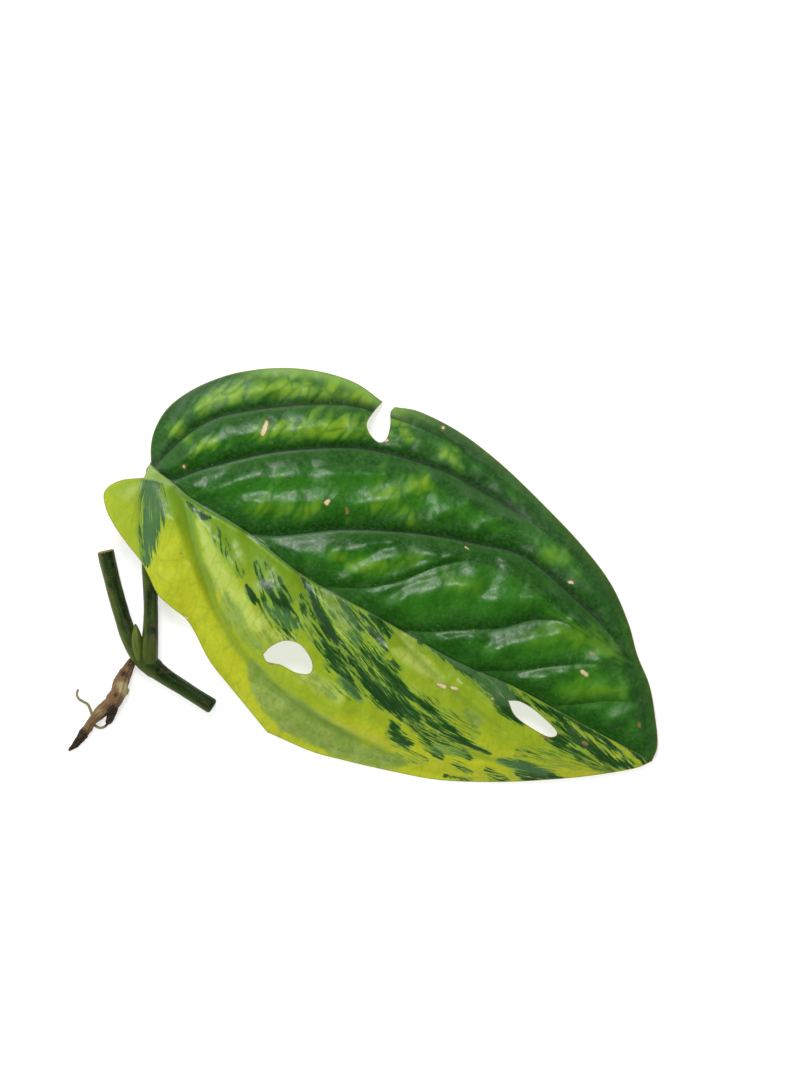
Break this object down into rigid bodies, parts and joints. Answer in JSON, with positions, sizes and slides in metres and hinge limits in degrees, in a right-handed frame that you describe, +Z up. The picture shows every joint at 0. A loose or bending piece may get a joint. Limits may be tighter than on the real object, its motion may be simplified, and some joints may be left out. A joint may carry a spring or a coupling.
{
  "type": "monstera cutting",
  "caption": "Rooted vine cutting: a heart-based pointed leaf with sunken veins, small holes and a torn notch, on its stalk and a short cut stem.",
  "frame": {"origin": "middle of the cutting's footprint, on the surface that it lies on", "axes": "+Z up, off the leaf's upper face; +X right and +Y away as seen from above with the stalk at the left; the leaf's tip points towards +X and -Y"},
  "size_m": [0.1421, 0.0998, 0.0117],
  "materials": {
    "leaf": "satin",
    "stalk": "satin",
    "stem": "satin",
    "bud": "satin",
    "root": "matte"
  },
  "bodies": {
    "root": {"leaf_blade": "leaf", "petiole": "stalk", "stem": "stem", "axillary_bud": "bud", "aerial_root": "root"}
  },
  "joints": []
}
